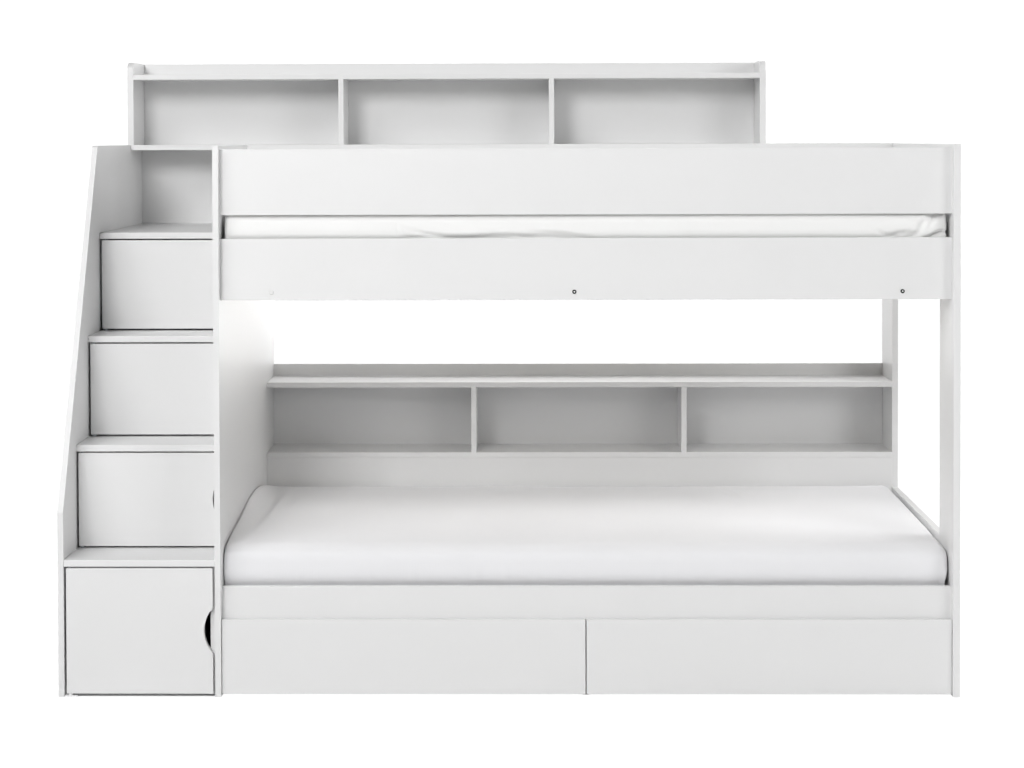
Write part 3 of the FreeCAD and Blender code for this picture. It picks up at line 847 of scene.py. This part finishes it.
def press_folds(piece, folds, front):
    """Raise or press creases into a sheet: each has a line of points, a half width and a height.

    On the front side they are measured across the front plane, whatever its swelling.
    """
    data = piece.data
    placed = vertex_array(data, "co")
    normals = vertex_array(data, "normal")
    lift = numpy.zeros(len(placed))
    spots = placed.copy()
    spots[placed[:, 1] < front + FRONT_DEPTH, 1] = front
    for line, half_width, height in folds:
        line = numpy.array(line)
        legs = numpy.linalg.norm(numpy.diff(line, axis=0), axis=1)
        nearest = numpy.full(len(spots), numpy.inf)
        share = numpy.zeros(len(spots))
        for index, leg in enumerate(legs):
            run = line[index + 1] - line[index]
            along = numpy.clip((spots - line[index]) @ run / leg ** 2, 0, 1)
            away = numpy.linalg.norm(spots - line[index] - along[:, None] * run, axis=1)
            closer = away < nearest
            nearest[closer] = away[closer]
            share[closer] = (legs[:index].sum() + along[closer] * leg) / legs.sum()
        taper = numpy.sin(numpy.pi * (FOLD_END + (1 - 2 * FOLD_END) * share))
        lift += height * taper * numpy.exp(-(nearest / half_width) ** 2)
    place_vertices(data, placed + normals * lift[:, None])


def refine_band(piece, front, low_z, high_z):
    """Subdivide a band of the front once more, where sharp creases show."""
    mesh = bmesh.new()
    mesh.from_mesh(piece.data)
    for face in mesh.faces:
        middle = face.calc_center_median()
        face.tag = low_z < middle.z < high_z and middle.y < front + FRONT_DEPTH
    edges = [edge for edge in mesh.edges if any(face.tag for face in edge.link_faces)]
    bmesh.ops.subdivide_edges(mesh, edges=edges, cuts=1, use_grid_fill=True)
    mesh.to_mesh(piece.data)
    mesh.free()


def bulge(piece, low, high, low_z, high_z, reach):
    """Let the front swell out between two boards, less towards its ends."""
    spots = vertex_array(piece.data, "co")
    tall = (spots[:, 2] - low_z) / (high_z - low_z) * 2 - 1
    ends = numpy.clip(numpy.minimum(spots[:, 0] - low.x, high.x - spots[:, 0]) / FRONT_DEPTH, 0, 1)
    share = numpy.clip(1 - tall ** 4, 0, 1) * ends * (2 - ends) * (spots[:, 1] < low.y + FRONT_DEPTH)
    spots[:, 1] -= reach * share
    place_vertices(piece.data, spots)


def keep_between(piece, low_x, high_x):
    """Press the ends of a sheet flat where they would pass into the end boards."""
    spots = vertex_array(piece.data, "co")
    spots[:, 0] = spots[:, 0].clip(low_x, high_x)
    place_vertices(piece.data, spots)


def puckers(low, high, dice, count, reach, depth):
    """Short upright tucks along the front foot of a sheet, where it is drawn under the mattress."""
    tucks = []
    for index in range(count):
        x = low.x + (high.x - low.x) * (index + dice.uniform(0.2, 0.8)) / count
        top = low.z + reach * dice.uniform(0.55, 1.0)
        lean = dice.uniform(-14, 14) * MM
        tucks.append(([(x, low.y, low.z + 10 * MM), (x + lean, low.y, top)],
                      dice.uniform(5, 10) * MM, -depth * dice.uniform(0.4, 1.0)))
    return tucks


def lower_folds(low, high, dice):
    """Creases of the lower sheet: a raised left end, a drawn-in foot, a wavy rear edge, a slack right end."""
    top = high.z
    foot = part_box("lower_front_rail")[1].z - FOOT_DROP
    left, right, front, rear = low.x, high.x, low.y, high.y

    def spot(end, x, side, y):
        return (end + x * MM, side + y * MM, top)

    # Half width and height in mm, and points
    creases = (
        (32, 18, (spot(left, -4, front, 100), spot(left, -4, rear, -64))),
        (32, 20, (spot(left, -4, front, 367), spot(left, -4, rear, -13))),
        (34, -6, (spot(right, 16, rear, 30), spot(right, -12, rear, -50))),
        (26, -12, ((left - FOOT_OVERRUN, front, foot), (right + FOOT_OVERRUN, front, foot))),
        (13, 5, (spot(left, 6, rear, -60), spot(left, 5, front, 170))),
        (15, -9, (spot(left, 50, rear, -60), spot(left, 54, front, 530), spot(left, 36, front, 130))),
        (14, 4, (spot(left, 78, rear, -180), spot(left, 76, front, 330))),
        (16, -4, (spot(left, 108, rear, -130), spot(left, 96, front, 470))),
        (10, 5, (spot(right, -78, rear, -18), spot(right, -39, rear, -6), spot(right, -18, rear, -73))),
        (10, -6, (spot(right, -66, rear, -50), spot(right, -29, rear, -108))),
        (11, -5, (spot(right, -530, rear, -120), spot(right, -486, rear, -260))),
        (11, 4, (spot(right, -512, rear, -112), spot(right, -468, rear, -246))),
    )
    folds = [(line, half_width * MM, height * MM) for half_width, height, line in creases]
    for share in (0.45, 0.54, 0.64, 0.82):
        y = rear - share * (rear - front)
        folds.append(([(right - 34 * MM, y + 26 * MM, top), (right - 4 * MM, y, top - 30 * MM)],
                      12 * MM, -6 * MM))
    waves = 16
    for index in range(waves):
        x = left + (right - left) * (index + dice.uniform(0.1, 0.9)) / waves
        reach = dice.uniform(30, 70) * MM
        folds.append(([(x - reach, rear - 6 * MM, top - 6 * MM), (x + reach, rear - 9 * MM, top - 6 * MM)],
                      14 * MM, dice.choice((-1, 1)) * dice.uniform(1.0, 2.4) * MM))
    return folds + puckers(low, high, dice, count=22, reach=95 * MM, depth=1.6 * MM)


def upper_folds(low, high, dice):
    """Creases of the upper sheet, above the side rail: long slack ones and tight ones at the right end."""
    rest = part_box("upper_front_side_rail")[1].z
    folds = []
    for half_width, height, line in UPPER_CREASES:
        folds.append(([(x * MM, low.y, rest + z * MM) for x, z in line], half_width * MM, height * MM))
    return folds + puckers(low, high, dice, count=18, reach=110 * MM, depth=1.2 * MM)


class BUNK_OT_mattresses(bpy.types.Operator):
    """Make both mattresses in their fitted sheets"""
    bl_idname = "bunk.mattresses"
    bl_label = "Make the mattresses"

    def execute(self, context):
        sheet = context.scene.bunk_sheet
        room = (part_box("lower_mattress")[0].x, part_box("right_front_post")[0].x - POST_GAP)
        slot = (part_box("upper_front_side_rail")[1].z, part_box("upper_front_guard_rail")[0].z)
        sheets = {"lower": (sheet.lower_colour, lower_folds, sheet.front_sink),
                  "upper": (sheet.upper_colour, upper_folds, 0.0)}
        for level, (colour, folds, sink) in sheets.items():
            low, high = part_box(level + "_mattress")
            low.x -= END_REACH[level][0]
            high.x += END_REACH[level][1]
            piece = sheeted_block(level + "_mattress_in_sheet", low, high, sheet, TOP_ROUNDING[level], sink)
            swell(piece, sheet, low, high)
            refine(piece)
            low.x = max(low.x, room[0])
            if level == "upper":
                refine_band(piece, low.y, slot[0] - BAND_MARGIN, slot[1] + BAND_MARGIN)
            press_folds(piece, folds(low, high, numpy.random.default_rng(SEEDS[level])), low.y)
            if level == "upper":
                bulge(piece, low, high, *slot, sheet.bulge)
            keep_between(piece, *room)
            piece.data.materials.append(cotton(level + "_cotton_sheet", colour))
            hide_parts(level + "_mattress")
            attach(piece, "bed")
        return {"FINISHED"}


def area_light(name, place, way, width, power):
    """A square soft light at a place, shining one way."""
    light = bpy.data.lights.new(name, "AREA")
    light.size = width
    light.energy = power
    lamp = add_object(name, light)
    lamp.location = place
    lamp.rotation_euler = way.to_track_quat("-Z", "Y").to_euler()
    return lamp


class BUNK_OT_stage(bpy.types.Operator):
    """Set the floor, the lights and the camera"""
    bl_idname = "bunk.stage"
    bl_label = "Set the stage"

    def execute(self, context):
        stage = context.scene.bunk_stage
        scene = context.scene
        self.lay_floor()
        self.light_room(scene, stage)
        self.place_camera(scene, stage)
        return {"FINISHED"}

    def lay_floor(self):
        """Lay the white floor in nine fields, of which the middle one lies in the shade under the stairs."""
        low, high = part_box("stair_bottom_panel")
        xs = (-FLOOR_HALF, low.x, high.x, FLOOR_HALF)
        ys = (-FLOOR_HALF, CAD_BOX[0][1] + STAIR_SETBACK, high.y, FLOOR_HALF)
        data = bpy.data.meshes.new("studio_floor")
        data.from_pydata([(x, y, 0) for y in ys for x in xs], [],
                         [(i, i + 1, i + 5, i + 4) for i in range(11) if i % 4 < 3])
        floor = add_object("studio_floor", data)
        data.materials.append(floor_paint("studio_floor_white", FLOOR_GLOW))
        data.materials.append(floor_paint("studio_floor_under_stairs", 0.0))
        data.polygons[4].material_index = 1

    def light_room(self, scene, stage):
        """Light the room from the back and the left, and set the softboxes and the strip light."""
        scene.view_settings.view_transform = "Standard"
        world = bpy.data.worlds.new("studio_room")
        scene.world = world
        world.use_nodes = True
        tree = world.node_tree
        tree.nodes.clear()
        way = add_node(tree, "ShaderNodeTexCoord").outputs["Generated"]
        total = None
        for lobe in ((0, stage.back_room, 0), (-stage.left_room, 0, 0)):
            facing = add_node(tree, "ShaderNodeVectorMath", {"operation": "DOT_PRODUCT"}, {1: lobe}, {0: way})
            part = add_node(tree, "ShaderNodeMath", {"operation": "MAXIMUM"}, {1: 0.0},
                            {0: facing.outputs["Value"]}).outputs[0]
            total = add_up(tree, total, part)
        seen = add_node(tree, "ShaderNodeLightPath").outputs["Is Camera Ray"]
        strength = add_node(tree, "ShaderNodeMix", values={3: SEEN_WHITE}, links={0: seen, 2: total})
        room = add_node(tree, "ShaderNodeBackground", values={"Color": rgba(linear("#FFFFFF"))},
                        links={"Strength": strength.outputs[0]})
        add_node(tree, "ShaderNodeOutputWorld", links={"Surface": room.outputs["Background"]})
        for name, (place, width) in SOFTBOXES.items():
            power = getattr(stage, name + "_power")
            area_light(name + "_softbox", place, BED_MIDDLE - Vector(place), width, power)
        low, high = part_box("lower_bookcase_back")
        gap = Vector((low.x + STRIP_REACH, CAD_BOX[1][1], (high.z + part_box("upper_rear_guard")[0].z) / 2))
        strip = area_light("strip_light", gap, STRIP_AIM, STRIP_SIZE[0], stage.strip_power)
        strip.data.shape = "RECTANGLE"
        strip.data.size_y = STRIP_SIZE[1]
        strip.data.spread = STRIP_SPREAD
        strip.visible_camera = False

    def place_camera(self, scene, stage):
        """Set the camera as it stood for the photograph."""
        lens = bpy.data.cameras.new("photo_camera")
        lens.sensor_fit = "HORIZONTAL"
        lens.lens = stage.focal_pixels / PHOTO_WIDTH * lens.sensor_width
        lens.shift_y = -stage.shift_pixels / PHOTO_WIDTH
        camera = add_object("photo_camera", lens)
        turn = Matrix.Rotation(stage.camera_yaw, 4, "Z")
        tilt = Matrix.Rotation(math.pi / 2 + stage.camera_pitch, 4, "X")
        roll = Matrix.Rotation(-stage.camera_roll, 4, "Z")
        camera.matrix_world = Matrix.Translation(stage.camera_place) @ turn @ tilt @ roll
        scene.camera = camera


class BUNK_PT_panel(bpy.types.Panel):
    """Steps and settings of the bunk bed"""
    bl_idname = "BUNK_PT_panel"
    bl_label = "Bunk Bed"
    bl_space_type = "VIEW_3D"
    bl_region_type = "UI"
    bl_category = "Bunk Bed"

    def draw(self, context):
        for step in STEPS:
            self.layout.operator(step.bl_idname)
        for name in SETTINGS:
            settings = getattr(context.scene, name)
            box = self.layout.box()
            for key in settings.bl_rna.properties.keys()[2:]:
                box.prop(settings, key)


STEPS = (BUNK_OT_boards, BUNK_OT_fittings, BUNK_OT_fixings, BUNK_OT_mattresses, BUNK_OT_stage)
SETTINGS = {"bunk_board": BoardSettings, "bunk_fixing": FixingSettings, "bunk_sheet": SheetSettings,
            "bunk_stage": StageSettings}


def register():
    for kind in (*SETTINGS.values(), *STEPS, BUNK_PT_panel):
        bpy.utils.register_class(kind)
    for name, kind in SETTINGS.items():
        setattr(bpy.types.Scene, name, PointerProperty(type=kind))


def unregister():
    for name in SETTINGS:
        delattr(bpy.types.Scene, name)
    for kind in (BUNK_PT_panel, *reversed(STEPS), *SETTINGS.values()):
        bpy.utils.unregister_class(kind)


def main():
    register()
    bpy.ops.bunk.boards()
    bpy.ops.bunk.fittings()
    bpy.ops.bunk.fixings()
    bpy.ops.bunk.mattresses()
    bpy.ops.bunk.stage()


if __name__ == "__main__":
    main()
